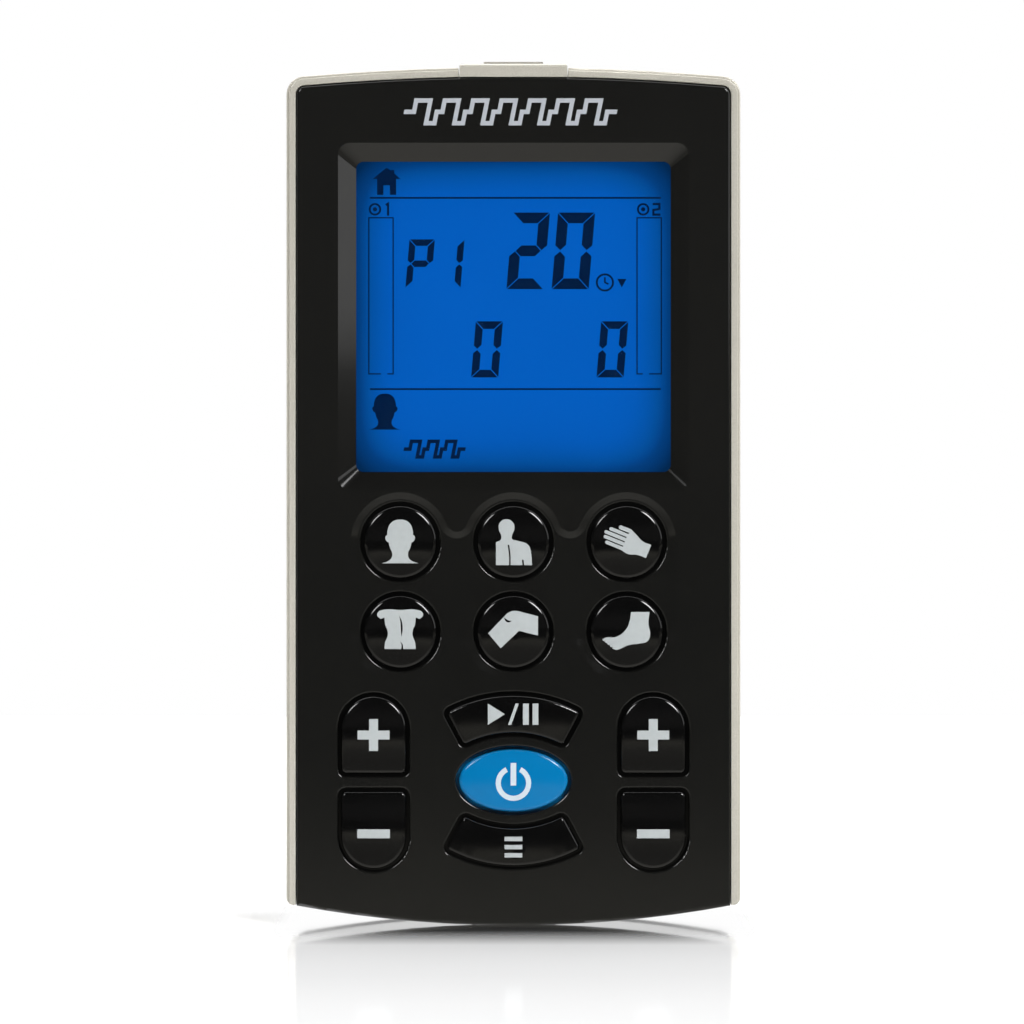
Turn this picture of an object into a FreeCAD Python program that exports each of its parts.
"""Hand-held two-channel TENS unit, as a parametric FreeCAD document.

The unit stands on its lower end. X runs across the face, Y runs from the face to the back and Z runs
up. The origin is under the middle of the whole unit. Depths are measured back from the black face.
"""

import FreeCAD, Part
import math
import os

import Sketcher
from FreeCAD import Placement, Rotation, Vector

# Driving dimensions in millimetres (angles in degrees): alias, value, meaning.
DIMENSIONS = [
    # Casing
    ("face_y", -14.9, "Y of the black face"),
    ("case_width", 64.0, "width over the silver rails"),
    ("case_top", 120.85, "height of the silver rim on the centre line"),
    ("case_depth", 24.0, "depth from the face to the back"),
    ("top_arc", 344.0, "radius of the top edge"),
    ("bottom_arc", 168.4, "radius of the bottom edge"),
    ("foot_rise", 0.1, "what is cut off the bottom arc, as a flat foot to stand on"),
    ("corner_round", 2.6, "outer radius of the corners"),
    ("split_depth", 14.0, "depth of the joint between the covers"),
    ("face_thick", 2.2, "thickness of the face"),
    ("wall", 1.6, "wall of the front cover"),
    ("rear_wall", 1.8, "wall of the rear cover"),
    ("face_round", 0.45, "rounding of the face's edge"),
    ("rear_round", 4.0, "rounding of the back's edge"),
    # Silver trim
    ("trim_width", 1.33, "width of the silver band"),
    ("trim_gap", 0.12, "shadow gap between the band and the face"),
    ("trim_setback", 0.25, "band below the face"),
    ("trim_foot", 2.8, "height of the band's lower ends"),
    ("ledge_width", 0.38, "width of the step along the band's outside"),
    ("ledge_depth", 0.3, "depth of that step"),
    ("trim_round", 0.12, "rounding of the band's front edges"),
    ("ledge_round", 0.2, "rounding of the step's outer edge"),
    ("block_width", 15.2, "width of the socket block"),
    ("block_top", 121.3, "top of the socket block"),
    ("block_reach", 19.5, "depth that the socket block reaches back to"),
    ("block_low", 117.2, "underside of the block's thick rear part"),
    ("block_setback", 0.05, "socket block below the face"),
    ("block_seam", 0.15, "gap between the block and the silver bands"),
    ("block_round", 0.45, "rounding of the block's upper edges"),
    ("block_play", 0.1, "gap round the block's rear part"),
    # Display
    ("display_z", 85.7, "height of the display's centre"),
    ("bezel_width", 49.4, "outer width of the sloped bezel"),
    ("bezel_height", 48.9, "outer height of the sloped bezel"),
    ("bezel_round", 1.7, "outer corner radius of the bezel"),
    ("bezel_depth", 1.7, "depth of the slope"),
    ("window_width", 44.4, "width of the window opening"),
    ("window_height", 43.8, "height of the window opening"),
    ("window_round", 1.05, "corner radius of the window opening"),
    ("tape_thick", 0.15, "adhesive tape behind the face"),
    ("lens_margin", 2.0, "overlap of the lens behind the face"),
    ("lens_thick", 1.2, "thickness of the lens"),
    ("glass_width", 50.0, "width of the liquid-crystal glass"),
    ("front_glass_height", 47.4, "height of the front glass"),
    ("rear_glass_height", 50.4, "height of the rear glass, with its contact ledge"),
    ("glass_thick", 1.1, "thickness of each glass"),
    ("glass_depth", 3.9, "depth of the front glass"),
    ("glass_gap", 0.05, "gap behind each glass"),
    ("holder_width", 53.4, "width of the display holder"),
    ("holder_height", 52.6, "height of the display holder"),
    ("guide_thick", 2.4, "thickness of the backlight guide"),
    # Keys
    ("key_proud", 0.6, "how far the keys stand out of the face"),
    ("key_gap", 0.45, "gap round a key"),
    ("dish_depth", 0.25, "depth of the dish round the body-part keys"),
    ("dish_rim", 1.85, "width from a body-part key to the rim of the dish"),
    ("dish_floor", 0.9, "width from a body-part key to the edge of its floor"),
    ("dish_bridge", 8.5, "from a body-part key's centre to the centre of the curve between two keys"),
    ("well_round", 0.28, "rounding of the key openings"),
    ("key_round", 0.55, "rounding of the keys' top edge"),
    ("flange_width", 0.95, "flange round a key, behind the face"),
    ("flange_gap", 0.05, "gap between the face and the flange"),
    ("flange_thick", 0.8, "thickness of the flange"),
    ("stem_radius", 1.6, "radius of a key's stem"),
    ("stem_depth", 5.0, "depth where a stem meets its switch"),
    ("round_radius", 5.15, "radius of the body-part keys"),
    ("round_crown", 38.0, "radius of their domed top"),
    ("round_pitch", 15.94, "spacing of the body-part keys across"),
    ("round_upper_z", 53.93, "height of their upper row"),
    ("round_lower_z", 41.28, "height of their lower row"),
    ("level_x", 19.68, "distance of the level keys from the centre"),
    ("level_z", 20.07, "height between the plus and the minus keys"),
    ("level_offset", 6.7, "half the spacing of plus and minus"),
    ("level_width", 9.16, "width of a level key"),
    ("level_height", 10.93, "height of a level key"),
    ("level_corner", 0.75, "corner radius of a level key"),
    ("level_crown", 46.0, "radius of their domed top"),
    ("power_z", 20.35, "height of the power key"),
    ("power_half_width", 7.67, "half width of the power key"),
    ("power_half_height", 4.38, "half height of the power key"),
    ("power_crown", 60.0, "radius of its domed top"),
    ("arc_reach", 9.35, "distance of the arc keys from the power key"),
    ("arc_radius", 17.33, "middle radius of the arc keys"),
    ("arc_width", 5.35, "radial width of the arc keys"),
    ("arc_half_angle", 28.4, "half angle of the arc keys"),
    ("arc_corner", 0.65, "corner radius of the arc keys"),
    ("arc_crown", 90.0, "radius of their domed top"),
    # Circuit board and switches
    ("board_width", 55.4, "width of the circuit board"),
    ("board_low", 4.7, "lower edge of the circuit board"),
    ("board_high", 116.0, "upper edge of the circuit board"),
    ("board_depth", 9.8, "depth of the board's front"),
    ("board_thick", 1.2, "thickness of the board"),
    ("board_clear", 0.3, "gap between the board and the screw bosses"),
    ("chip_side", 12.0, "side of the microcontroller"),
    ("chip_thick", 1.4, "thickness of the microcontroller"),
    ("chip_x", -13.0, "middle of the microcontroller across"),
    ("chip_z", 78.0, "lower edge of the microcontroller"),
    ("core_width", 12.0, "width of a transformer core"),
    ("core_thick", 8.0, "thickness of a transformer core"),
    ("core_height", 5.0, "height of a transformer core"),
    ("core_x", 17.0, "transformers from the centre line"),
    ("core_z", 98.0, "lower edge of the cores"),
    ("coil_radius", 3.6, "radius of a transformer's winding"),
    ("coil_height", 9.0, "height of a transformer's winding"),
    ("can_radius", 2.5, "radius of a capacitor"),
    ("can_length", 7.0, "length of a capacitor"),
    ("can_pitch", 7.0, "spacing of the capacitors"),
    ("can_z", 86.0, "height of the capacitors"),
    ("buzzer_radius", 5.5, "radius of the buzzer"),
    ("buzzer_length", 4.5, "length of the buzzer"),
    ("buzzer_x", 14.0, "buzzer from the centre line"),
    ("buzzer_z", 73.5, "height of the buzzer"),
    ("vent_radius", 1.0, "radius of the buzzer's vent"),
    ("vent_depth", 1.5, "depth of the buzzer's vent"),
    ("switch_side", 6.0, "side of a tact switch"),
    ("switch_depth", 6.3, "depth of a switch's front"),
    ("plunger_radius", 1.75, "radius of a switch plunger"),
    ("plunger_play", 0.06, "radial play of a plunger"),
    ("plunger_length", 2.5, "length of a plunger"),
    ("plunger_bore", 2.6, "depth of a switch's bore"),
    # Screws
    ("boss_x", 26.4, "screw bosses from the centre line"),
    ("boss_low", 6.6, "height of the lower bosses"),
    ("boss_high", 114.2, "height of the upper bosses"),
    ("boss_radius", 2.4, "radius of a front boss"),
    ("boss_length", 11.3, "length of a front boss"),
    ("post_radius", 2.95, "radius of a rear screw post"),
    ("screw_radius", 1.1, "radius of a case screw"),
    ("screw_play", 0.05, "radial play round a screw"),
    ("screw_head", 2.0, "radius of a case screw's head"),
    ("screw_head_thick", 1.6, "thickness of a case screw's head"),
    ("screw_floor", 1.0, "material left under a screw hole"),
    ("screw_end", 2.0, "from the inside of the face to the end of a screw"),
    ("screw_head_depth", 18.5, "depth where the heads bear"),
    ("counterbore", 2.4, "radius of the counterbores"),
    ("board_post_z", 54.2, "height of the board screws"),
    ("board_post_radius", 1.75, "radius of the board posts"),
    ("board_screw_radius", 0.8, "radius of a board screw"),
    ("board_head", 1.6, "radius of a board screw's head"),
    ("board_head_thick", 0.95, "thickness of a board screw's head"),
    ("board_hole", 0.92, "radius of the board's fixing holes"),
    # Lead sockets and charging port
    ("socket_x", 3.75, "lead sockets from the centre line"),
    ("socket_depth", 14.7, "depth of the lead sockets' axes"),
    ("socket_radius", 2.8, "radius of the holes for the lead plugs"),
    ("jack_radius", 3.55, "outer radius of a socket barrel"),
    ("jack_bore", 2.6, "inner radius of a socket barrel"),
    ("jack_low", 107.0, "lower end of the barrels"),
    ("jack_top", 117.1, "upper end of the barrels"),
    ("jack_floor", 1.5, "floor of the barrels"),
    ("contact_radius", 1.0, "radius of the contact pins"),
    ("contact_length", 5.5, "length of the contact pins"),
    ("usb_width", 7.65, "width of the charging port"),
    ("usb_thick", 2.6, "thickness of the charging port"),
    ("usb_length", 5.4, "length of the charging port"),
    ("usb_low", 1.0, "mouth of the charging port"),
    ("usb_wall", 0.35, "wall of the charging port's shell"),
    ("usb_tongue_width", 4.4, "width of the tongue in the port"),
    ("usb_tongue_thick", 0.8, "thickness of that tongue"),
    ("usb_tongue_set", 1.2, "tongue inside the port's mouth"),
    ("usb_lift", 0.08, "solder under the port's shell"),
    # Battery
    ("bay_depth", 16.6, "depth of the battery bay's floor"),
    ("bay_floor", 1.2, "thickness of that floor"),
    ("bay_width", 34.8, "width of the battery bay"),
    ("bay_low", 9.6, "lower end of the battery bay"),
    ("bay_high", 61.0, "upper end of the battery bay"),
    ("bay_wall", 1.5, "wall of the battery bay"),
    ("bay_root", 1.62, "how far the bay's walls reach into the back"),
    ("plinth_thick", 1.8, "thickness of the frame round the door's recess"),
    ("pack_width", 34.0, "width of the battery pack"),
    ("pack_height", 49.2, "height of the battery pack"),
    ("pack_thick", 5.2, "thickness of the battery pack"),
    ("pack_gap", 0.15, "gap round the battery pack"),
    ("pack_round", 1.0, "rounding of the battery pack"),
    ("leaf_width", 2.1, "width of a battery contact"),
    ("leaf_depth", 3.1, "depth of a battery contact"),
    ("leaf_height", 2.0, "height of a battery contact"),
    ("leaf_pitch", 4.9, "spacing of the battery contacts"),
    ("door_width", 39.3, "width of the battery door"),
    ("door_high", 63.3, "upper edge of the battery door"),
    ("door_thick", 1.65, "thickness of the battery door"),
    ("door_play", 0.15, "gap round the battery door"),
    ("tongue_width", 0.8, "side tongues of the door"),
    ("tongue_thick", 0.7, "thickness of those tongues"),
    ("tongue_high", 59.5, "upper end of those tongues"),
    ("ridge_root", 0.3, "how far the grip ridges reach into the door"),
    ("ridge_height", 0.45, "height of the grip ridges and the arrow"),
    # Belt clip
    ("clip_width", 16.0, "width of the belt clip"),
    ("clip_depth", 30.4, "depth of the clip's outer face"),
    ("clip_thick", 1.6, "thickness of the clip"),
    ("clip_high", 124.15, "top of the clip's thumb tab"),
    ("clip_low", 58.6, "lower end of the clip"),
    ("clip_round", 0.45, "rounding of the clip's outer edges"),
    ("tab_width", 8.7, "width of the thumb tab"),
    ("tab_low", 117.0, "where the thumb tab begins"),
    ("hinge_z", 108.0, "height of the clip's hinge"),
    ("hinge_depth", 27.6, "depth of the clip's hinge"),
    ("barrel_radius", 2.3, "radius of the clip's hinge barrel"),
    ("hinge_pin", 1.0, "radius of the hinge pin"),
    ("hinge_play", 0.05, "radial play on the hinge pin"),
    ("ear_gap", 0.3, "gap between the clip and an ear"),
    ("ear_thick", 2.0, "thickness of an ear"),
    ("ear_radius", 2.7, "radius of an ear"),
    ("spring_wire", 0.4, "wire of the clip's spring"),
    ("spring_radius", 1.35, "middle radius of the clip's spring"),
    ("spring_turns", 6.0, "turns of the clip's spring"),
    ("spring_pitch", 0.46, "spacing of the spring's turns"),
    ("spring_pocket", 5.2, "width of the spring's pocket in the barrel"),
]

FAR = 80.0  # half side of a cutter that is larger than the unit
ROUND_KEYS = ["head_key", "shoulder_key", "hand_key", "back_key", "knee_key", "foot_key"]
LEVEL_KEYS = ["channel_1_plus_key", "channel_1_minus_key", "channel_2_plus_key", "channel_2_minus_key"]

doc = FreeCAD.newDocument("tens_unit")
sheet = doc.addObject("Spreadsheet::Sheet", "dims")
for row_number, (alias, value, meaning) in enumerate(DIMENSIONS, 1):
    sheet.set("A%d" % row_number, meaning)
    sheet.set("B%d" % row_number, str(value))
    sheet.setAlias("B%d" % row_number, alias)
doc.recompute()
sub_parts = []


def size(formula):
    """Value of a formula over the sheet's aliases."""
    return sheet.evalExpression(formula)


def bound(formula):
    """The same formula as another object writes it, with the sheet's name before each alias."""
    words = []
    word = ""
    for letter in formula + " ":
        if letter.isalnum() or letter == "_":
            word += letter
            continue
        words.append("dims." + word if word[:1].isalpha() else word)
        words.append(letter)
        word = ""
    return "".join(words).strip()


def sub_part(thing, label):
    """Names a finished object as one sub-part of the unit."""
    thing.Label = label
    sub_parts.append(thing)
    return thing


# ---- Sketches ----


def plane(body, role):
    """One of a body's own origin planes."""
    return [feature for feature in body.Origin.OriginFeatures if feature.Role == role][0]


def sketch_on(body, name, role, offset, outlines):
    """Sketch on an origin plane, moved along its normal, holding closed outlines of edges."""
    sketch = body.newObject("Sketcher::SketchObject", name)
    sketch.AttachmentSupport = [(plane(body, role), "")]
    sketch.MapMode = "FlatFace"
    sketch.setExpression("AttachmentOffset.Base.z", bound(offset))
    for edges in outlines:
        for edge in edges:
            index = sketch.addGeometry(edge)
            sketch.addConstraint(Sketcher.Constraint("Block", index))
    return sketch


def front_sketch(body, name, depth, outlines):
    """Sketch seen from the front, a formula's depth behind the face."""
    return sketch_on(body, name, "XZ_Plane", "-(face_y + %s)" % depth, outlines)


def side_sketch(body, name, outlines):
    """Sketch seen from the side, on the centre plane."""
    return sketch_on(body, name, "YZ_Plane", "0", outlines)


def circle_sketch(body, name, depth, radius, centres):
    """Sketch of equal circles at (x, z) formulas, their radius and places bound to the sheet."""
    sketch = front_sketch(body, name, depth, [])
    for x, z in centres:
        index = sketch.addGeometry(Part.Circle(Vector(size(x), size(z), 0), Vector(0, 0, 1), size(radius)))
        for kind, points, formula in (
            ("Radius", (index,), radius),
            ("DistanceX", (-1, 1, index, 3), x),
            ("DistanceY", (-1, 1, index, 3), z),
        ):
            number = sketch.addConstraint(Sketcher.Constraint(kind, *points, size(formula)))
            sketch.setExpression("Constraints[%d]" % number, bound(formula))
    return sketch


def polygon(points):
    """Closed outline of straight edges through (across, up) points."""
    corners = [Vector(across, up, 0) for across, up in points]
    return [Part.LineSegment(corners[i], corners[(i + 1) % len(corners)]) for i in range(len(corners))]


def rectangle(low_x, low_z, high_x, high_z):
    return polygon([(low_x, low_z), (high_x, low_z), (high_x, high_z), (low_x, high_z)])


def arc(centre, radius, start, end):
    """Arc about a centre from one angle to another, anticlockwise, in degrees."""
    circle = Part.Circle(centre, Vector(0, 0, 1), radius)
    return Part.ArcOfCircle(circle, math.radians(start), math.radians(end))


def round_rectangle(centre_z, width, height, radius):
    """Rectangle with round corners, centred on the unit's middle line."""
    x = width / 2 - radius
    z = height / 2 - radius
    edges = []
    for turn, (sign_x, sign_z) in enumerate(((1, 1), (-1, 1), (-1, -1), (1, -1))):
        edges.append(arc(Vector(sign_x * x, centre_z + sign_z * z, 0), radius, 90 * turn, 90 * turn + 90))
    return with_lines_between(edges)


def with_lines_between(arcs):
    """Closed outline: the arcs in order, with a line from the end of each to the start of the next."""
    edges = []
    for i, one in enumerate(arcs):
        after = arcs[(i + 1) % len(arcs)]
        edges.append(one)
        if one.EndPoint.distanceToPoint(after.StartPoint) > 1e-6:
            edges.append(Part.LineSegment(one.EndPoint, after.StartPoint))
    return edges


def circle_angle(centre, point):
    return math.degrees(math.atan2(point.y - centre.y, point.x - centre.x))


def top_edge(inset):
    """Top edge at an inset: the big arc's centre and radius, and the right corner's centre, radius and angle."""
    centre = Vector(0, size("case_top - top_arc"), 0)
    radius = size("top_arc") - inset
    corner_radius = max(size("corner_round") - inset, 0.4)
    x = size("case_width") / 2 - inset - corner_radius
    corner = Vector(x, centre.y + math.sqrt((radius - corner_radius) ** 2 - x**2), 0)
    return centre, radius, corner, corner_radius, circle_angle(centre, corner)


def case_outline(side_inset, bottom_inset, low_round):
    """Outline of the case: straight sides, arched ends, round upper corners and lower ones if asked."""
    half = size("case_width") / 2 - side_inset
    centre, radius, corner, corner_radius, angle = top_edge(side_inset)
    left_corner = Vector(-corner.x, corner.y, 0)
    arcs = [
        arc(corner, corner_radius, 0, angle),
        arc(centre, radius, angle, 180 - angle),
        arc(left_corner, corner_radius, 180 - angle, 180),
    ]
    bottom_radius = size("bottom_arc") - bottom_inset
    bottom_centre = Vector(0, size("bottom_arc - foot_rise"), 0)
    if low_round:
        corner_x = half - low_round
        fall = math.sqrt((bottom_radius - low_round) ** 2 - corner_x**2)
        low = Vector(corner_x, bottom_centre.y - fall, 0)
        low_left = Vector(-corner_x, low.y, 0)
        bottom_angle = circle_angle(bottom_centre, low)
        arcs.append(arc(low_left, low_round, 180, 180 - bottom_angle))
        arcs.append(arc(bottom_centre, bottom_radius, -180 - bottom_angle, bottom_angle))
        arcs.append(arc(low, low_round, bottom_angle, 0))
    else:
        bottom_angle = -math.degrees(math.acos(half / bottom_radius))
        arcs.append(arc(bottom_centre, bottom_radius, -180 - bottom_angle, bottom_angle))
    return with_lines_between(arcs)


# ---- Key outlines: closed outlines about a key's own centre, moved to (x, z) and turned half over ----


def placed(edges, x, z, half_turn):
    """Edges turned by 180 degrees if asked, then moved to (x, z)."""
    moved = []
    for edge in edges:
        edge = edge.copy()
        if half_turn:
            edge.rotate(Placement(Vector(), Rotation(Vector(0, 0, 1), 180)))
        edge.translate(Vector(x, z, 0))
        moved.append(edge)
    return moved


def round_outline(grow):
    return [Part.Circle(Vector(), Vector(0, 0, 1), size("round_radius") + grow)]


def power_outline(grow):
    half_width = size("power_half_width") + grow
    half_height = size("power_half_height") + grow
    return [Part.Ellipse(Vector(half_width, 0, 0), Vector(0, half_height, 0), Vector())]


def level_outline(grow):
    """A key with a half-round upper end and two small round corners below."""
    half = size("level_width") / 2 + grow
    low = -size("level_height") / 2 - grow
    crown_z = size("level_height - level_width") / 2
    corner = size("level_corner") + grow
    arcs = [
        arc(Vector(0, crown_z, 0), half, 0, 180),
        arc(Vector(corner - half, low + corner, 0), corner, 180, 270),
        arc(Vector(half - corner, low + corner, 0), corner, 270, 360),
    ]
    return with_lines_between(arcs)


def arc_outline(grow):
    """A key that is a sector of a ring, its middle at the origin and the ring's centre below."""
    centre = Vector(0, -size("arc_radius"), 0)
    outer = size("arc_radius + arc_width / 2") + grow
    inner = size("arc_radius - arc_width / 2") - grow
    corner = size("arc_corner") + grow
    half_angle = size("arc_half_angle")
    # The straight ends lie parallel to the radius at the half angle, `grow` outside it.
    lean = Vector(math.sin(math.radians(half_angle)), math.cos(math.radians(half_angle)), 0)
    across = Vector(lean.y, -lean.x, 0)

    def corner_centre(radius):
        back = grow - corner
        along = math.sqrt(radius**2 - back**2)
        return centre + lean * along + across * back

    high = corner_centre(outer - corner)
    low = corner_centre(inner + corner)
    high_angle = circle_angle(centre, high)
    low_angle = circle_angle(centre, low)
    high_left = Vector(-high.x, high.y, 0)
    low_left = Vector(-low.x, low.y, 0)
    return [
        arc(centre, outer, high_angle, 180 - high_angle),
        arc(high_left, corner, 180 - high_angle, 180 + half_angle),
        Part.LineSegment(
            Vector(-(high.x + across.x * corner), high.y + across.y * corner, 0),
            Vector(-(low.x + across.x * corner), low.y + across.y * corner, 0),
        ),
        arc(low_left, corner, 180 + half_angle, 360 - low_angle),
        arc(centre, inner, low_angle, 180 - low_angle),
        arc(low, corner, 180 + low_angle, 360 - half_angle),
        Part.LineSegment(low + across * corner, high + across * corner),
        arc(high, corner, -half_angle, high_angle),
    ]


def key_layout():
    """Every key: its node's name, outline, (x, z) formulas, half turn, and crown."""
    keys = []
    for number, name in enumerate(ROUND_KEYS):
        x = "%d * round_pitch" % (number % 3 - 1)
        z = "round_upper_z" if number < 3 else "round_lower_z"
        keys.append((name, round_outline, x, z, False, "round_crown"))
    for number, name in enumerate(LEVEL_KEYS):
        x = "-level_x" if number < 2 else "level_x"
        minus = number % 2 == 1
        z = "level_z - level_offset" if minus else "level_z + level_offset"
        keys.append((name, level_outline, x, z, minus, "level_crown"))
    keys.append(("mode_key", arc_outline, "0", "power_z + arc_reach", False, "arc_crown"))
    keys.append(("power_key", power_outline, "0", "power_z", False, "power_crown"))
    keys.append(("set_key", arc_outline, "0", "power_z - arc_reach", True, "arc_crown"))
    return keys


# ---- Features ----


def new_body(name):
    return doc.addObject("PartDesign::Body", name)


def pad(body, sketch, length, towards_back=True):
    """Pads a front sketch by a formula's length, towards the back or the face."""
    feature = body.newObject("PartDesign::Pad", sketch.Name + "_pad")
    feature.Profile = sketch
    feature.setExpression("Length", bound(length))
    feature.Reversed = towards_back
    sketch.Visibility = False
    doc.recompute()
    return feature


def pocket(body, sketch, length, towards_back=True):
    """Cuts a front sketch by a formula's length, and stops if nothing was cut."""
    before = body.Shape.Volume
    feature = body.newObject("PartDesign::Pocket", sketch.Name + "_pocket")
    feature.Profile = sketch
    feature.setExpression("Length", bound(length))
    feature.Reversed = not towards_back
    doc.recompute()
    if body.Shape.Volume > before - 1e-4:
        raise RuntimeError("%s cuts nothing" % feature.Name)
    return feature


def sloped_cut(body, name, front, back):
    """Cuts between two front sketches with straight slopes, and stops if nothing was cut."""
    doc.recompute()
    before = body.Shape.Volume
    feature = body.newObject("PartDesign::SubtractiveLoft", name)
    feature.Profile = front
    feature.Sections = [back]
    feature.Ruled = True
    doc.recompute()
    if body.Shape.Volume > before - 1e-4:
        raise RuntimeError("%s cuts nothing" % name)


def wide_pad(body, sketch, width):
    """Pads a side sketch to both sides of the centre plane."""
    feature = pad(body, sketch, width, towards_back=False)
    feature.Midplane = True
    doc.recompute()
    return feature


def wide_pocket(body, sketch, width):
    """Cuts a side sketch to both sides of the centre plane."""
    before = body.Shape.Volume
    feature = body.newObject("PartDesign::Pocket", sketch.Name + "_pocket")
    feature.Profile = sketch
    feature.setExpression("Length", bound(width))
    feature.Midplane = True
    doc.recompute()
    if body.Shape.Volume > before - 1e-4:
        raise RuntimeError("%s cuts nothing" % feature.Name)
    return feature


def fillet(body, radius, chosen):
    """Rounds the edges of the body's tip that `chosen` accepts."""
    tip = body.Tip
    names = ["Edge%d" % (i + 1) for i, edge in enumerate(tip.Shape.Edges) if chosen(edge)]
    feature = body.newObject("PartDesign::Fillet", body.Name + "_fillet")
    feature.Base = (tip, names)
    feature.setExpression("Radius", bound(radius))
    doc.recompute()
    return feature


def at_depth(depth):
    """Test for an edge that lies in the plane at that depth."""
    y = size("face_y") + depth
    return lambda edge: abs(edge.BoundBox.YMin - y) < 1e-4 and abs(edge.BoundBox.YMax - y) < 1e-4


def cylinder(name, radius, height, x, y, z, axis):
    """Cylinder whose sizes and place are formulas. Its axis is Z, or Y or X when turned."""
    thing = doc.addObject("Part::Cylinder", name)
    thing.setExpression("Radius", bound(radius))
    thing.setExpression("Height", bound(height))
    turns = {"X": Rotation(Vector(0, 1, 0), 90), "Y": Rotation(Vector(1, 0, 0), -90), "Z": Rotation()}
    thing.Placement = Placement(Vector(), turns[axis])
    place(thing, x, y, z)
    return thing


def box(name, width, depth, height, x, y, z):
    """Box whose sizes are formulas, centred on x, and starting at y and z."""
    thing = doc.addObject("Part::Box", name)
    thing.setExpression("Length", bound(width))
    thing.setExpression("Width", bound(depth))
    thing.setExpression("Height", bound(height))
    place(thing, "%s - (%s) / 2" % (x, width), y, z)
    return thing


def place(thing, x, y, z):
    """Binds an object's place to formulas."""
    for letter, formula in (("x", x), ("y", y), ("z", z)):
        thing.setExpression("Placement.Base." + letter, bound(formula))


def cut(name, base, tool):
    thing = doc.addObject("Part::Cut", name)
    thing.Base = base
    thing.Tool = tool
    return thing


def fuse(name, pieces):
    thing = doc.addObject("Part::MultiFuse", name)
    thing.Shapes = pieces
    return thing


def group(name, pieces):
    """Identical separate solids that share one node."""
    thing = doc.addObject("Part::Compound", name)
    thing.Links = pieces
    return thing


# ---- Casing ----


def screw_centres():
    return [("%d * boss_x" % side, height) for side in (-1, 1) for height in ("boss_low", "boss_high")]


def board_screw_centres():
    return [("%d * boss_x" % side, "board_post_z") for side in (-1, 1)]


def front_cover():
    """Black face with its skirt, sloped bezel, key openings and screw bosses."""
    body = new_body("front_cover")
    inset = size("trim_width + trim_gap")
    outer = front_sketch(body, "face_outline", "0", [case_outline(inset, 0, 0)])
    pad(body, outer, "split_depth")
    fillet(body, "face_round", at_depth(0))
    cavity_outline = case_outline(inset + size("wall"), size("wall"), 0)
    cavity = front_sketch(body, "face_cavity", "face_thick", [cavity_outline])
    pocket(body, cavity, "split_depth")
    bosses = circle_sketch(body, "face_bosses", "face_thick", "boss_radius", screw_centres())
    pad(body, bosses, "boss_length")
    posts = circle_sketch(body, "board_posts", "face_thick", "board_post_radius", board_screw_centres())
    pad(body, posts, "board_depth - face_thick")
    bezel(body)
    key_dish(body)
    wells = [placed(outline(size("key_gap")), size(x), size(z), turned)
             for _, outline, x, z, turned, _ in key_layout()]
    openings = front_sketch(body, "key_openings", "0", wells)
    pocket(body, openings, "face_thick")
    fillet(body, "well_round", well_edge())
    case_holes = circle_sketch(body, "boss_holes", "split_depth", "screw_radius + screw_play", screw_centres())
    pocket(body, case_holes, "split_depth - face_thick - screw_floor", towards_back=False)
    board_holes = circle_sketch(
        body, "post_holes", "board_depth", "board_screw_radius + screw_play", board_screw_centres()
    )
    pocket(body, board_holes, "board_depth - face_thick - screw_floor", towards_back=False)
    notch_for_sockets(body)
    port = front_sketch(body, "port_slot", "board_depth + board_thick", [port_outline()])
    pocket(body, port, "split_depth")
    flat_foot(body, "0", "split_depth")
    return sub_part(body, "front_cover")


def flat_foot(body, start, length):
    """Cuts the lowest part of the bottom arc off level."""
    below = rectangle(-FAR / 2, -2, FAR / 2, 0)
    pocket(body, front_sketch(body, body.Name + "_foot", start, [below]), length)


def well_edge():
    """Test for the front edges of the key openings, in the face below the dish and in the dish's floor."""
    in_face = at_depth(0)
    in_dish = at_depth(size("dish_depth"))
    well_radius = size("round_radius + key_gap")
    dish_low = size("round_lower_z - round_radius - dish_rim")
    lowest = size("power_z - arc_reach - arc_width")

    def chosen(edge):
        bounds = edge.BoundBox
        if in_dish(edge):
            return abs(bounds.XLength - 2 * well_radius) < 0.01
        return in_face(edge) and lowest < bounds.ZMin and bounds.ZMax < dish_low

    return chosen


def dish_outline(width):
    """Outline round the six body-part keys, at a width outside them, with a hollow curve between two keys."""
    radius = size("round_radius") + width
    bridge = size("dish_bridge")
    pitch = size("round_pitch")
    lift = math.sqrt(bridge**2 - (pitch / 2) ** 2)
    lean = math.degrees(math.atan2(lift, pitch / 2))
    upper = size("round_upper_z")
    lower = size("round_lower_z")

    def round_key(column, z, start, end):
        return arc(Vector(column * pitch, z, 0), radius, start, end)

    def between(column, z, start, end):
        return arc(Vector(column * pitch, z, 0), bridge - radius, start, end)

    arcs = [
        round_key(1, upper, 0, 180 - lean),
        between(0.5, upper + lift, 180 + lean, 360 - lean),
        round_key(0, upper, lean, 180 - lean),
        between(-0.5, upper + lift, 180 + lean, 360 - lean),
        round_key(-1, upper, lean, 180),
        round_key(-1, lower, 180, 360 - lean),
        between(-0.5, lower - lift, lean, 180 - lean),
        round_key(0, lower, 180 + lean, 360 - lean),
        between(0.5, lower - lift, lean, 180 - lean),
        round_key(1, lower, 180 + lean, 360),
    ]
    left = Part.LineSegment(arcs[4].EndPoint, arcs[5].StartPoint)
    right = Part.LineSegment(arcs[9].EndPoint, arcs[0].StartPoint)
    return arcs + [left, right]


def key_dish(body):
    """Shallow dish with a sloped rim round the body-part keys."""
    rim = front_sketch(body, "dish_rim_outline", "0", [dish_outline(size("dish_rim"))])
    floor = front_sketch(body, "dish_floor_outline", "dish_depth", [dish_outline(size("dish_floor"))])
    sloped_cut(body, "key_dish", rim, floor)


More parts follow.
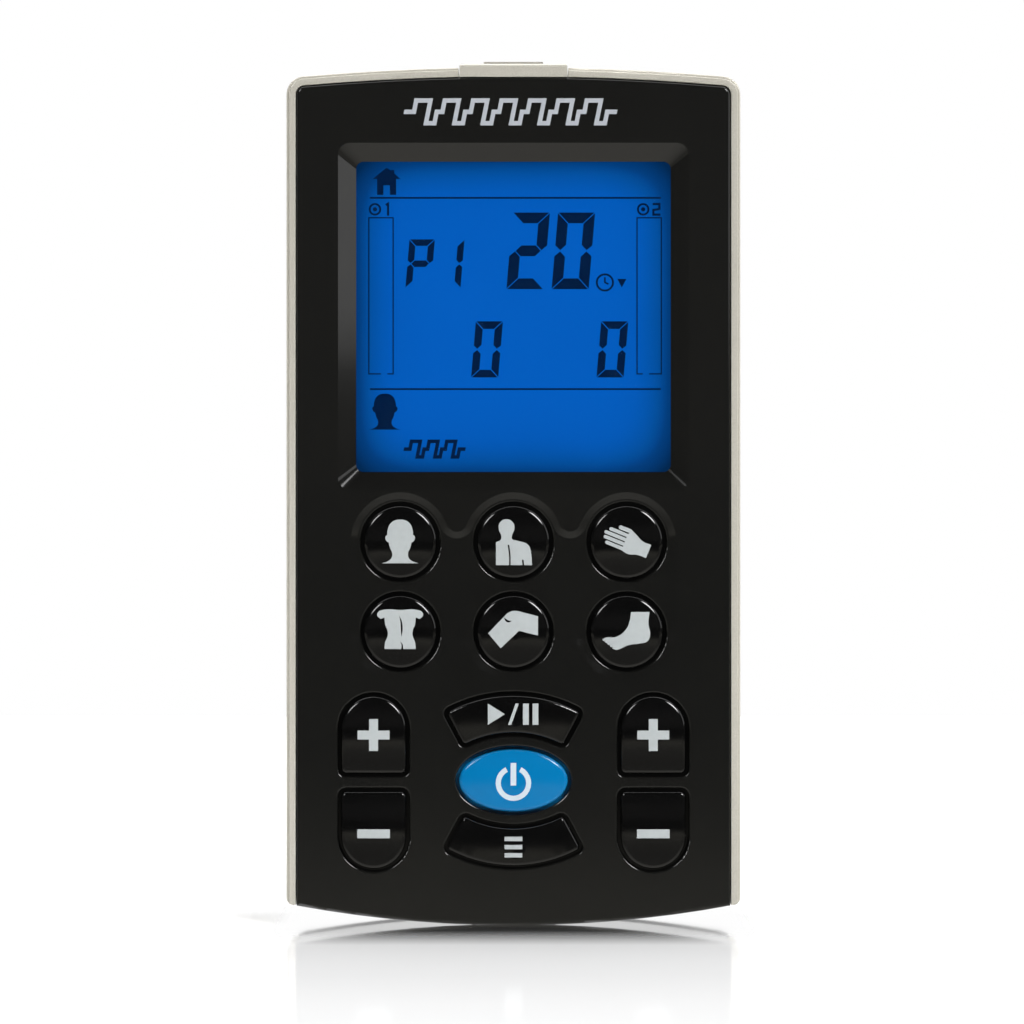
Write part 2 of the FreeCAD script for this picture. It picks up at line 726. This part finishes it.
def bezel(body):
    """Sloped frame round the window, and the opening itself."""
    z = size("display_z")
    outer = front_sketch(
        body, "bezel_outer", "0", [round_rectangle(z, size("bezel_width"), size("bezel_height"), size("bezel_round"))]
    )
    window = round_rectangle(z, size("window_width"), size("window_height"), size("window_round"))
    inner = front_sketch(body, "bezel_inner", "bezel_depth", [window])
    sloped_cut(body, "bezel_slope", outer, inner)
    opening = front_sketch(body, "window_opening", "0", [window])
    pocket(body, opening, "face_thick")


def notch_for_sockets(body):
    """Gap in the top wall for the thick rear part of the socket block."""
    half = size("block_width") / 2
    room = rectangle(-half, size("block_low - block_play"), half, size("block_top") + 1)
    notch = front_sketch(body, "socket_notch", "board_depth + board_thick - block_play", [room])
    pocket(body, notch, "split_depth")


def port_outline():
    """Opening for the charging port, through the lower wall."""
    half = size("usb_width") / 2 + 0.25
    return rectangle(-half, -1, half, size("wall") + 0.6)


def trim(name):
    """Left silver band: from the socket block round the corner and down the side."""
    body = new_body(name)
    band = trim_outline(0, size("trim_width"), 1.0)
    outline = front_sketch(body, name + "_band", "trim_setback", [band])
    pad(body, outline, "split_depth - trim_setback")
    step = trim_outline(-1, size("ledge_width"), 0)
    ledge = front_sketch(body, name + "_ledge", "trim_setback", [step])
    pocket(body, ledge, "ledge_depth")
    front = at_depth(size("trim_setback"))
    fillet(body, "trim_round", lambda edge: front(edge) and edge.Length > 1.2)
    outer = at_depth(size("trim_setback + ledge_depth"))
    fillet(body, "ledge_round", lambda edge: outer(edge) and edge.Length > 1.2 and inset_of(edge) < 0.05)
    return body


def inset_of(edge):
    """How far the middle of an edge lies inside the case's outline."""
    middle = edge.valueAt((edge.FirstParameter + edge.LastParameter) / 2)
    point = Vector(abs(middle.x), middle.z, 0)
    centre, radius, corner, corner_radius, angle = top_edge(0)
    if point.y < corner.y:
        return size("case_width") / 2 - point.x
    if circle_angle(centre, point) > angle:
        return radius - point.distanceToPoint(centre)
    return corner_radius - point.distanceToPoint(corner)


def trim_outline(low_inset, high_inset, foot_round):
    """Left half of the band between two insets of the case outline, its outer foot round if asked."""
    foot = size("trim_foot")
    end_x = size("block_width / 2 + block_seam")
    edges = []
    for inset in (low_inset, high_inset):
        centre, radius, corner, corner_radius, angle = top_edge(inset)
        end_angle = 180 - math.degrees(math.acos(end_x / radius))
        left = Vector(-corner.x, corner.y, 0)
        edges.append(arc(centre, radius, end_angle, 180 - angle))
        edges.append(arc(left, corner_radius, 180 - angle, 180))
    outer_arc, outer_corner, inner_arc, inner_corner = edges
    inner_foot = Vector(inner_corner.EndPoint.x, foot, 0)
    outer_foot = Vector(outer_corner.EndPoint.x, foot, 0)
    if foot_round:
        centre = outer_foot + Vector(foot_round, foot_round, 0)
        edges.append(arc(centre, foot_round, 180, 270))
        edges.append(Part.LineSegment(outer_corner.EndPoint, centre - Vector(foot_round, 0, 0)))
        outer_foot = centre - Vector(0, foot_round, 0)
    else:
        inner_foot.y -= 1
        outer_foot.y -= 1
        edges.append(Part.LineSegment(outer_corner.EndPoint, outer_foot))
    edges.append(Part.LineSegment(outer_foot, inner_foot))
    edges.append(Part.LineSegment(inner_foot, inner_corner.EndPoint))
    edges.append(Part.LineSegment(inner_arc.StartPoint, outer_arc.StartPoint))
    return edges


def trims():
    """The two silver bands are mirror images."""
    left = sub_part(trim("trim_left"), "trim_left")
    right = doc.addObject("Part::Mirroring", "trim_right")
    right.Source = left
    right.Base = Vector()
    right.Normal = Vector(1, 0, 0)
    sub_part(right, "trim_right")


def rear_shape(body, name):
    """Solid rear half of the case with its rounded back."""
    corner = size("corner_round")
    outline = front_sketch(body, name + "_outline", "split_depth", [case_outline(0, 0, corner)])
    pad(body, outline, "case_depth - split_depth")
    fillet(body, "rear_round", at_depth(size("case_depth")))


def rear_cover():
    """Rear shell with screw posts, battery bay, door rails and the ears of the belt clip."""
    body = new_body("rear_cover")
    rear_shape(body, "rear")
    inset = size("rear_wall")
    cavity = front_sketch(body, "rear_cavity", "split_depth", [case_outline(inset, inset, 1.2)])
    pocket(body, cavity, "case_depth - split_depth - rear_wall")
    posts = circle_sketch(body, "rear_posts", "case_depth - rear_wall", "post_radius", screw_centres())
    pad(body, posts, "case_depth - rear_wall - split_depth", towards_back=False)
    battery_bay(body)
    sinks = circle_sketch(body, "counterbores", "case_depth", "counterbore", screw_centres())
    pocket(body, sinks, "case_depth - screw_head_depth", towards_back=False)
    holes = circle_sketch(body, "screw_holes", "case_depth", "screw_radius + screw_play", screw_centres())
    pocket(body, holes, "case_depth", towards_back=False)
    clip_ears(body)
    half = size("block_width / 2 + block_play")
    room = rectangle(-half, size("block_low - block_play"), half, size("block_top") + 1)
    notch = front_sketch(body, "rear_socket_notch", "split_depth", [room])
    pocket(body, notch, "block_reach + block_play - split_depth")
    flat_foot(body, "split_depth", "case_depth - split_depth")
    return sub_part(body, "rear_cover")


def battery_bay(body):
    """Tub for the battery pack, the recess of its door and the slots for the door's tongues."""
    wall = size("bay_wall")
    half = size("bay_width") / 2
    low = size("bay_low")
    high = size("bay_high")
    recess_half = size("door_width / 2 + door_play")
    recess_high = size("door_high + door_play")
    plinth = rectangle(-recess_half - wall, low - 3, recess_half + wall, recess_high + wall)
    pad(body, front_sketch(body, "bay_plinth", "case_depth - bay_root", [plinth]), "plinth_thick",
        towards_back=False)
    tub = rectangle(-half - wall, low - wall, half + wall, high + wall)
    pad(body, front_sketch(body, "bay_tub", "case_depth - bay_root", [tub]),
        "case_depth - bay_root - bay_depth + bay_floor", towards_back=False)
    pocket(body, front_sketch(body, "bay_room", "case_depth", [rectangle(-half, low, half, high)]),
           "case_depth - bay_depth", towards_back=False)
    pocket(body, front_sketch(body, "door_recess", "case_depth",
                              [rectangle(-recess_half, -FAR, recess_half, recess_high)]),
           "door_thick + door_play", towards_back=False)
    slots = [rectangle(-recess_half - size("tongue_width"), -FAR, -recess_half + 1, size("tongue_high") + 0.3),
             rectangle(recess_half - 1, -FAR, recess_half + size("tongue_width"), size("tongue_high") + 0.3)]
    pocket(body, front_sketch(body, "door_slots", "case_depth - door_thick - door_play", slots),
           "tongue_thick + 2 * door_play")


def clip_ears(body):
    """Two ears on the back that hold the hinge pin of the belt clip."""
    y = size("face_y + hinge_depth")
    z = size("hinge_z")
    radius = size("ear_radius")
    root = size("face_y + case_depth") - 0.4
    ear = [
        arc(Vector(y, z, 0), radius, -90, 90),
        Part.LineSegment(Vector(y, z + radius, 0), Vector(root, z + radius + 1, 0)),
        Part.LineSegment(Vector(root, z + radius + 1, 0), Vector(root, z - radius - 1, 0)),
        Part.LineSegment(Vector(root, z - radius - 1, 0), Vector(y, z - radius, 0)),
    ]
    wide_pad(body, side_sketch(body, "ear_side", [ear]), "clip_width + 2 * ear_gap + 2 * ear_thick")
    room = rectangle(root + 0.4, z - 2 * radius, y + 2 * radius, z + 2 * radius)
    wide_pocket(body, side_sketch(body, "ear_room", [room]), "clip_width + 2 * ear_gap")
    hole = [Part.Circle(Vector(y, z, 0), Vector(0, 0, 1), size("hinge_pin") + 0.01)]
    wide_pocket(body, side_sketch(body, "ear_hole", [hole]), "2 * clip_width")


def battery_door():
    """Sliding cover that forms the lower middle of the back."""
    body = new_body("battery_door")
    rear_shape(body, "door")
    everything = rectangle(-FAR, -FAR, FAR, 2 * FAR)
    pocket(body, front_sketch(body, "door_inside", "split_depth", [everything]),
           "case_depth - door_thick - split_depth")
    half = size("door_width") / 2
    door = rectangle(-half, -FAR / 2, half, size("door_high"))
    pocket(body, front_sketch(body, "door_edges", "split_depth", [everything, door]), "case_depth")
    low = size("rear_round") + 1
    tongues = []
    for side in (-1, 1):
        ends = sorted((side * (half - 0.5), side * (half + size("tongue_width"))))
        tongues.append(rectangle(ends[0], low, ends[1], size("tongue_high")))
    pad(body, front_sketch(body, "door_tongues", "case_depth - door_thick", tongues), "tongue_thick")
    ridges = [rectangle(-8, 14 + 2.2 * row, 8, 15.1 + 2.2 * row) for row in range(6)]
    arrow = polygon([(-3.2, 11.6), (0, 7.6), (3.2, 11.6)])
    grip = front_sketch(body, "door_grip", "case_depth - ridge_root", ridges + [arrow])
    pad(body, grip, "ridge_root + ridge_height")
    return sub_part(body, "battery_door")


def socket_block():
    """Silver block in the middle of the top edge, with the two holes for the lead plugs."""
    body = new_body("socket_block")
    half = size("block_width") / 2
    low = size("case_top - trim_width - trim_gap") + 0.05
    plate = rectangle(-half, low, half, size("block_top"))
    pad(body, front_sketch(body, "block_plate", "block_setback", [plate]), "block_reach - block_setback")
    thick = rectangle(-half + 0.15, size("block_low"), half - 0.15, low + 0.2)
    start = "board_depth + board_thick"
    pad(body, front_sketch(body, "block_thick", start, [thick]), "block_reach - board_depth - board_thick")
    top = size("block_top")
    fillet(body, "block_round", lambda edge: edge.BoundBox.ZMin > top - 1e-4)
    holes = sketch_on(body, "block_holes", "XY_Plane", "block_top + 1", socket_circles(size("socket_radius")))
    pocket(body, holes, "block_width")
    return sub_part(body, "socket_block")


def socket_circles(radius):
    """Circles about the two sockets' axes, seen from above."""
    y = size("face_y + socket_depth")
    return [[Part.Circle(Vector(side * size("socket_x"), y, 0), Vector(0, 0, 1), radius)] for side in (-1, 1)]


# ---- Display ----


def front_plate(name, depth, thickness, outlines):
    """Flat sub-part seen from the front."""
    body = new_body(name)
    pad(body, front_sketch(body, name + "_outline", depth, outlines), thickness)
    return sub_part(body, name)


def display():
    """Lens with its tape, the liquid-crystal glasses, the backlight guide, the holder and the contacts."""
    z = size("display_z")
    lens_width = size("window_width + 2 * lens_margin")
    lens_height = size("window_height + 2 * lens_margin")
    lens = round_rectangle(z, lens_width, lens_height, 1.2)
    hole = round_rectangle(z, size("window_width") + 1, size("window_height") + 1, 1.4)
    front_plate("lens_tape", "face_thick", "tape_thick", [lens, hole])
    front_plate("display_lens", "face_thick + tape_thick", "lens_thick", [lens])
    half = size("glass_width") / 2
    top = z + size("front_glass_height") / 2
    low = z - size("front_glass_height") / 2
    ledge = top - size("rear_glass_height")
    front_plate("lcd_front_glass", "glass_depth", "glass_thick", [rectangle(-half, low, half, top)])
    front_plate("lcd_rear_glass", "glass_depth + glass_thick + glass_gap", "glass_thick",
                [rectangle(-half, ledge, half, top)])
    shelf = "(glass_depth + 2 * glass_thick + 2 * glass_gap)"
    front_plate("backlight_guide", shelf, "guide_thick", [rectangle(-half + 1, low + 1, half - 1, top - 1)])
    holder = new_body("display_holder")
    holder_front = "(glass_depth - 4 * glass_gap)"
    outer = front_sketch(holder, "holder_outline", holder_front,
                         [round_rectangle((top + ledge) / 2, size("holder_width"), size("holder_height"), 1.5)])
    pad(holder, outer, "board_depth - %s" % holder_front)
    glass_room = front_sketch(holder, "holder_glass", holder_front,
                              [rectangle(-half - 0.15, ledge - 0.15, half + 0.15, top + 0.15)])
    pocket(holder, glass_room, "%s - %s" % (shelf, holder_front))
    guide_room = front_sketch(holder, "holder_guide", holder_front,
                              [rectangle(-half + 0.9, low + 0.9, half - 0.9, top - 0.9)])
    pocket(holder, guide_room, "%s - %s + guide_thick + 4 * glass_gap" % (shelf, holder_front))
    strip_room = front_sketch(holder, "holder_strip", holder_front,
                              [rectangle(-half + 2, ledge + 0.4, half - 2, low - 0.4)])
    pocket(holder, strip_room, "board_depth")
    sub_part(holder, "display_holder")
    front_plate("contact_strip", shelf, "board_depth - %s" % shelf,
                [rectangle(-half + 2.1, ledge + 0.5, half - 2.1, low - 0.5)])


# ---- Keys and switches ----


def key_cap(name, outline, x, z, half_turn, crown):
    """Key with a crowned top, a flange behind the face and a stem down to its switch."""
    body = new_body(name)
    cap = front_sketch(body, name + "_cap", "0 - key_proud", [placed(outline(0), 0, 0, half_turn)])
    pad(body, cap, "key_proud + face_thick + flange_gap + flange_thick")
    top = size("face_y - key_proud")
    crown_key(body, name, top, size(crown))
    fillet(body, "key_round", lambda edge: edge.BoundBox.YMax < size("face_y") + 0.6)
    flange_shape = placed(outline(size("flange_width")), 0, 0, half_turn)
    flange = front_sketch(body, name + "_flange", "face_thick + flange_gap", [flange_shape])
    pad(body, flange, "flange_thick")
    stem = circle_sketch(body, name + "_stem", "face_thick + flange_gap", "stem_radius",
                         [("0", "0")])
    pad(body, stem, "stem_depth - face_thick - flange_gap")
    place(body, x, "0", z)
    return sub_part(body, name)


def crown_key(body, name, top, radius):
    """Turns the flat top of a key into a shallow dome about the key's axis."""
    reach = 13.0
    drop = radius - math.sqrt(radius**2 - reach**2)
    middle = reach / 2
    middle_drop = radius - math.sqrt(radius**2 - middle**2)
    apex = Vector(top, 0, 0)
    rim = Vector(top + drop, reach, 0)
    profile = [
        Part.Arc(apex, Vector(top + middle_drop, middle, 0), rim),
        Part.LineSegment(rim, Vector(top - 1, reach, 0)),
        Part.LineSegment(Vector(top - 1, reach, 0), Vector(top - 1, 0, 0)),
        Part.LineSegment(Vector(top - 1, 0, 0), apex),
    ]
    sketch = side_sketch(body, name + "_crown", [profile])
    before = body.Shape.Volume
    groove = body.newObject("PartDesign::Groove", name + "_dome")
    groove.Profile = sketch
    groove.ReferenceAxis = (sketch, ["H_Axis"])
    groove.Angle = 360
    doc.recompute()
    if body.Shape.Volume > before - 1e-4:
        raise RuntimeError("%s has no dome" % name)


def keys_and_switches():
    """Each key with its switch plunger, and all the switch bodies as one group."""
    bodies = []
    for name, outline, x, z, half_turn, crown in key_layout():
        key_cap(name, outline, x, z, half_turn, crown)
        plunger = cylinder(name + "_plunger", "plunger_radius", "plunger_length",
                           x, "face_y + stem_depth", z, "Y")
        sub_part(plunger, name.replace("_key", "_switch_plunger"))
        side = "switch_side"
        housing = box(name + "_housing", side, "board_depth - switch_depth", side,
                      x, "face_y + switch_depth", "%s - switch_side / 2" % z)
        bore = cylinder(name + "_bore", "plunger_radius + plunger_play", "plunger_bore",
                        x, "face_y + switch_depth", z, "Y")
        bodies.append(cut(name + "_switch", housing, bore))
    sub_part(group("switches", bodies), "tact_switches")


# ---- Electronics ----


def circuit_board():
    """Main board, clear of the screw bosses, with its two fixing holes."""
    body = new_body("main_board")
    half = size("board_width") / 2
    outline = rectangle(-half, size("board_low"), half, size("board_high"))
    pad(body, front_sketch(body, "board_outline", "board_depth", [outline]), "board_thick")
    clear = circle_sketch(body, "board_corners", "board_depth", "boss_radius + board_clear", screw_centres())
    pocket(body, clear, "board_thick")
    holes = circle_sketch(body, "board_holes", "board_depth", "board_hole", board_screw_centres())
    pocket(body, holes, "board_thick")
    return sub_part(body, "main_board")


def board_parts():
    """What stands on the back of the main board."""
    back = "face_y + board_depth + board_thick"
    chip = box("mcu_body", "chip_side", "chip_thick", "chip_side", "chip_x", back, "chip_z")
    sub_part(chip, "microcontroller")
    transformers = []
    for side in (-1, 1):
        x = "%d * core_x" % side
        core = box("core_%d" % (side + 1), "core_width", "core_thick", "core_height", x, back, "core_z")
        coil = cylinder("coil_%d" % (side + 1), "coil_radius", "coil_height",
                        x, back + " + core_thick / 2", "core_z + core_height / 2 - coil_height / 2", "Z")
        transformers.append(fuse("transformer_%d" % (side + 1), [core, coil]))
    sub_part(group("transformers", transformers), "output_transformers")
    cans = []
    for number in range(3):
        cans.append(cylinder("can_%d" % number, "can_radius", "can_length", "%d * can_pitch" % number,
                             back, "can_z", "Y"))
    sub_part(group("cans", cans), "capacitors")
    case = cylinder("buzzer_case", "buzzer_radius", "buzzer_length", "buzzer_x", back, "buzzer_z", "Y")
    vent = cylinder("buzzer_vent", "vent_radius", "buzzer_length", "buzzer_x",
                    back + " + buzzer_length - vent_depth", "buzzer_z", "Y")
    sub_part(cut("buzzer_with_vent", case, vent), "buzzer")


def lead_jacks():
    """Insulating barrel and contact pin behind each hole of the socket block."""
    pins = []
    for side, name in ((-1, "left"), (1, "right")):
        x = "%d * socket_x" % side
        y = "face_y + socket_depth"
        outer = cylinder("barrel_" + name, "jack_radius", "jack_top - jack_low", x, y, "jack_low", "Z")
        bore = cylinder("barrel_bore_" + name, "jack_bore", "jack_top - jack_low", x, y,
                        "jack_low + jack_floor", "Z")
        sub_part(cut("jack_" + name, outer, bore), "lead_jack_" + name)
        pins.append(cylinder("contact_" + name, "contact_radius", "contact_length", x, y,
                             "jack_low + jack_floor", "Z"))
    sub_part(group("contacts", pins), "lead_contact_pins")


def charging_port():
    """Metal shell of the charging port with its tongue, on the board's lower edge."""
    back = "face_y + board_depth + board_thick + usb_lift"
    shell = box("port_shell", "usb_width", "usb_thick", "usb_length", "0", back, "usb_low")
    room = box("port_room", "usb_width - 2 * usb_wall", "usb_thick - 2 * usb_wall", "usb_length",
               "0", back + " + usb_wall", "usb_low - 2 * usb_wall")
    tongue = box("port_tongue", "usb_tongue_width", "usb_tongue_thick", "usb_length - usb_tongue_set",
                 "0", back + " + usb_thick / 2 - usb_tongue_thick / 2", "usb_low + usb_tongue_set")
    sub_part(fuse("port", [cut("port_case", shell, room), tongue]), "charging_port")


def battery():
    """Flat rechargeable pack and the three leaf contacts at its lower end."""
    body = new_body("battery_pack")
    middle = size("bay_high - pack_gap - pack_height / 2")
    outline = round_rectangle(middle, size("pack_width"), size("pack_height"), 2.0)
    pad(body, front_sketch(body, "pack_outline", "bay_depth + pack_gap", [outline]), "pack_thick")
    front = at_depth(size("bay_depth + pack_gap"))
    rear = at_depth(size("bay_depth + pack_gap + pack_thick"))
    fillet(body, "pack_round", lambda edge: front(edge) or rear(edge))
    sub_part(body, "battery_pack")
    leaves = []
    for number in range(3):
        leaves.append(box("leaf_%d" % number, "leaf_width", "leaf_depth", "leaf_height",
                          "%d * leaf_pitch" % (number - 1), "face_y + bay_depth + pack_round", "bay_low"))
    sub_part(group("leaves", leaves), "battery_contacts")


# ---- Fasteners ----


def screw(name, x, z, radius, head_radius, head_depth, head_thick, length):
    """Pan-head screw driven from the back, with a cross-shaped recess in its head."""
    head_y = "face_y + %s" % head_depth
    head = cylinder(name + "_head", head_radius, head_thick, x, head_y, z, "Y")
    shank = cylinder(name + "_shank", radius, length, x, "%s - (%s)" % (head_y, length), z, "Y")
    slots = []
    for number, (wide, high) in enumerate(((1.2, 0.3), (0.3, 1.2))):
        slots.append(box("%s_slot_%d" % (name, number), "%s * (%s)" % (wide, head_radius), head_thick,
                         "%s * (%s)" % (high, head_radius), x, "%s + 0.5 * (%s)" % (head_y, head_thick),
                         "%s - %s * (%s) / 2" % (z, high, head_radius)))
    return cut(name, fuse(name + "_blank", [head, shank]), fuse(name + "_recess", slots))


def screws():
    """Four case screws and two board screws, each kind as one group."""
    case = []
    for number, (x, z) in enumerate(screw_centres()):
        case.append(screw("case_screw_%d" % number, x, z, "screw_radius", "screw_head",
                          "screw_head_depth", "screw_head_thick", "screw_head_depth - face_thick - screw_end"))
    sub_part(group("case_screw_set", case), "case_screws")
    board = []
    for number, (x, z) in enumerate(board_screw_centres()):
        board.append(screw("board_screw_%d" % number, x, z, "board_screw_radius", "board_head",
                           "(board_depth + board_thick)", "board_head_thick", "board_depth - face_thick - screw_end"))
    sub_part(group("board_screw_set", board), "board_screws")


# ---- Belt clip ----


def belt_clip():
    """Sprung clip: thumb tab above the hinge, blade and inward lip below it."""
    body = new_body("belt_clip")
    y = size("face_y")
    outer = y + size("clip_depth")
    inner = outer - size("clip_thick")
    low = size("clip_low")
    back = y + size("case_depth")
    blade = polygon([
        (inner, size("clip_high")),
        (outer, size("clip_high")),
        (outer, low + 4.5),
        (outer - 1.6, low),
        (back + 0.5, low + 1.0),
        (back + 0.3, low + 2.3),
        (inner - 0.8, low + 2.6),
        (inner, low + 5.0),
    ])
    wide_pad(body, side_sketch(body, "clip_side", [blade]), "clip_width")
    hinge = Vector(y + size("hinge_depth"), size("hinge_z"), 0)
    barrel = [Part.Circle(hinge, Vector(0, 0, 1), size("barrel_radius"))]
    wide_pad(body, side_sketch(body, "clip_barrel", [barrel]), "clip_width")
    reach = size("barrel_radius") + 0.4
    room = rectangle(hinge.x - reach, hinge.y - reach, hinge.x + spring_reach() + 0.15, hinge.y + reach)
    wide_pocket(body, side_sketch(body, "clip_spring_room", [room]), "spring_pocket")
    pin = [Part.Circle(hinge, Vector(0, 0, 1), size("hinge_pin + hinge_play"))]
    wide_pocket(body, side_sketch(body, "clip_pin_hole", [pin]), "2 * clip_width")
    half = size("clip_width") / 2
    tab = size("tab_width") / 2
    tab_low = size("tab_low")
    shoulders = [polygon([(side * tab, 2 * FAR), (side * tab, tab_low + 2), (side * (half + 1), tab_low - 4),
                          (side * (half + 1), 2 * FAR)]) for side in (-1, 1)]
    pocket(body, front_sketch(body, "clip_shoulders", "case_depth", shoulders), "case_depth")
    fillet(body, "clip_round", outer_clip_edge(outer, low + 5))
    return sub_part(body, "belt_clip")


def outer_clip_edge(outer, low):
    """Test for the long edges of the clip's outer face."""

    def chosen(edge):
        bounds = edge.BoundBox
        return abs(bounds.YMin - outer) < 1e-4 and abs(bounds.YMax - outer) < 1e-4 and bounds.ZMax > low

    return chosen


def spring_reach():
    """Outer radius of the clip's spring."""
    return size("spring_radius + spring_wire / 2")


def clip_hinge():
    """Hinge pin of the belt clip, and its torsion spring."""
    length = "clip_width + 2 * ear_gap + 2 * ear_thick"
    pin = cylinder("hinge_pin_rod", "hinge_pin", length, "-(%s) / 2" % length,
                   "face_y + hinge_depth", "hinge_z", "X")
    sub_part(pin, "clip_pin")
    spring = doc.addObject("Part::Feature", "spring_coil")
    spring.Shape = torsion_spring()
    sub_part(spring, "clip_spring")


def torsion_spring():
    """Coil round the hinge pin, with one leg to the case and one to the thumb tab."""
    wire = size("spring_wire")
    radius = size("spring_radius")
    pitch = size("spring_pitch")
    length = pitch * size("spring_turns")
    helix = Part.Wire(Part.makeHelix(pitch, length, radius).Edges)
    ring = Part.Wire([Part.makeCircle(wire / 2, Vector(radius, 0, 0), Vector(0, 1, 0))])
    coil = helix.makePipeShell([ring], True, True)
    to_case = size("hinge_depth - case_depth") - 0.1
    to_tab = spring_reach() - 0.25
    legs = [
        Part.makeCylinder(wire / 2, to_case, Vector(radius, 0, 0), Vector(0, -1, 0)),
        Part.makeCylinder(wire / 2, to_tab, Vector(radius, 0, length), Vector(0, 1, 0)),
    ]
    spring = coil.fuse(legs)
    middle = Vector(length / 2, size("face_y + hinge_depth"), size("hinge_z"))
    spring.Placement = Placement(middle, Rotation(Vector(0, 1, 0), -90))
    return spring


# ---- Whole unit ----


def check(thing):
    """Stops the run if an object or its shape is not sound."""
    shape = thing.Shape
    if "Invalid" in thing.State or "Error" in thing.State:
        raise RuntimeError("%s did not recompute" % thing.Label)
    if shape.isNull() or not shape.isValid() or not shape.Solids:
        raise RuntimeError("%s has no valid solid" % thing.Label)


def main():
    front_cover()
    trims()
    socket_block()
    rear_cover()
    battery_door()
    display()
    keys_and_switches()
    circuit_board()
    board_parts()
    lead_jacks()
    charging_port()
    battery()
    screws()
    belt_clip()
    clip_hinge()
    doc.recompute()
    for thing in doc.Objects:
        if "Invalid" in thing.State or "Error" in thing.State:
            raise RuntimeError("%s did not recompute" % thing.Name)
    for thing in sub_parts:
        check(thing)
    os.makedirs("parts", exist_ok=True)
    for thing in sub_parts:
        thing.Shape.exportStep("parts/%s.step" % thing.Label)
    print("%d sub-parts" % len(sub_parts))


main()
